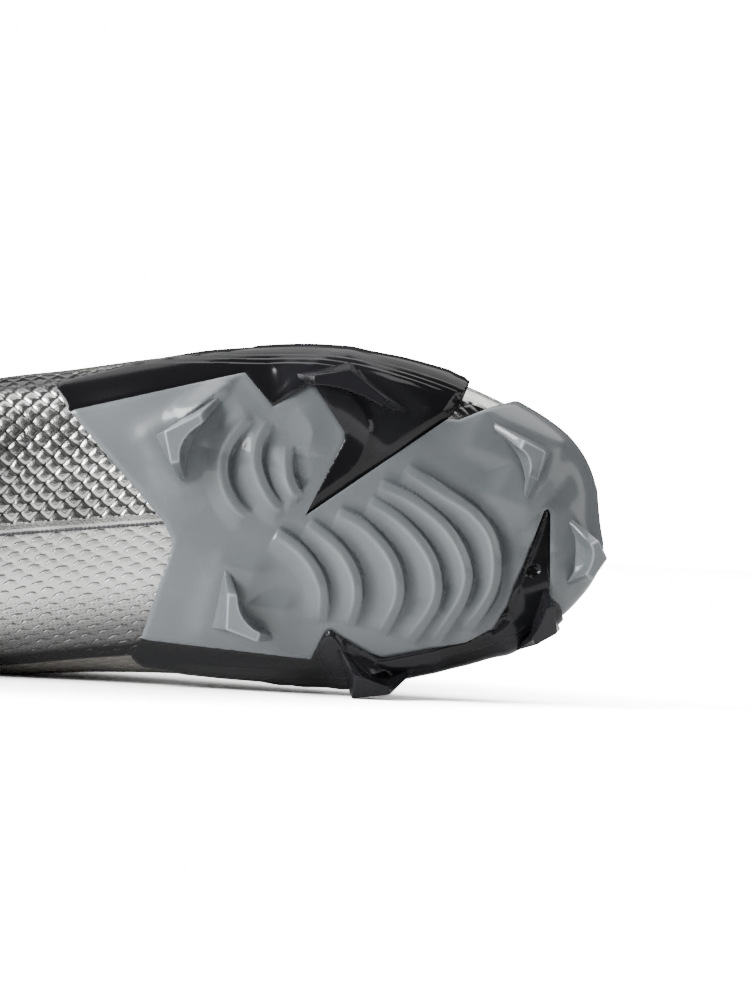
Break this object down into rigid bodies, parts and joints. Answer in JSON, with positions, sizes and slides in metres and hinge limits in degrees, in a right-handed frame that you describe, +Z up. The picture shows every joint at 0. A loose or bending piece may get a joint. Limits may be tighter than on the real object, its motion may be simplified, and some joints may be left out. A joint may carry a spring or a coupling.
{
  "type": "football cleat",
  "caption": "Low-cut moulded American football cleat for the right foot, lying empty on its inner side with its studded sole upright.",
  "frame": {"origin": "centre of the bounding box in X and Y, on the floor that the shoe lies on", "axes": "+X from heel to toe, +Z up through the outer side, -Y the way the sole faces"},
  "size_m": [0.2944, 0.1216, 0.1071],
  "materials": {
    "upper": "metallic silver film embossed with small scales",
    "smoke_plate": "moulded smoke-grey plastic, semi-gloss",
    "black_frame": "moulded black plastic, high gloss",
    "insole": "textile-topped foam",
    "tongue": "knitted fabric over thin foam",
    "eyestay": "welded matt film",
    "laces": "flat woven lace"
  },
  "bodies": {
    "root": {"upper": "upper", "forefoot_plate": "smoke_plate", "lateral_frame": "black_frame", "medial_frame": "black_frame", "heel_plate": "smoke_plate", "heel_frame": "black_frame", "insole": "insole", "tongue": "tongue", "eyestay_lateral": "eyestay", "eyestay_medial": "eyestay", "laces": "laces"}
  },
  "joints": []
}
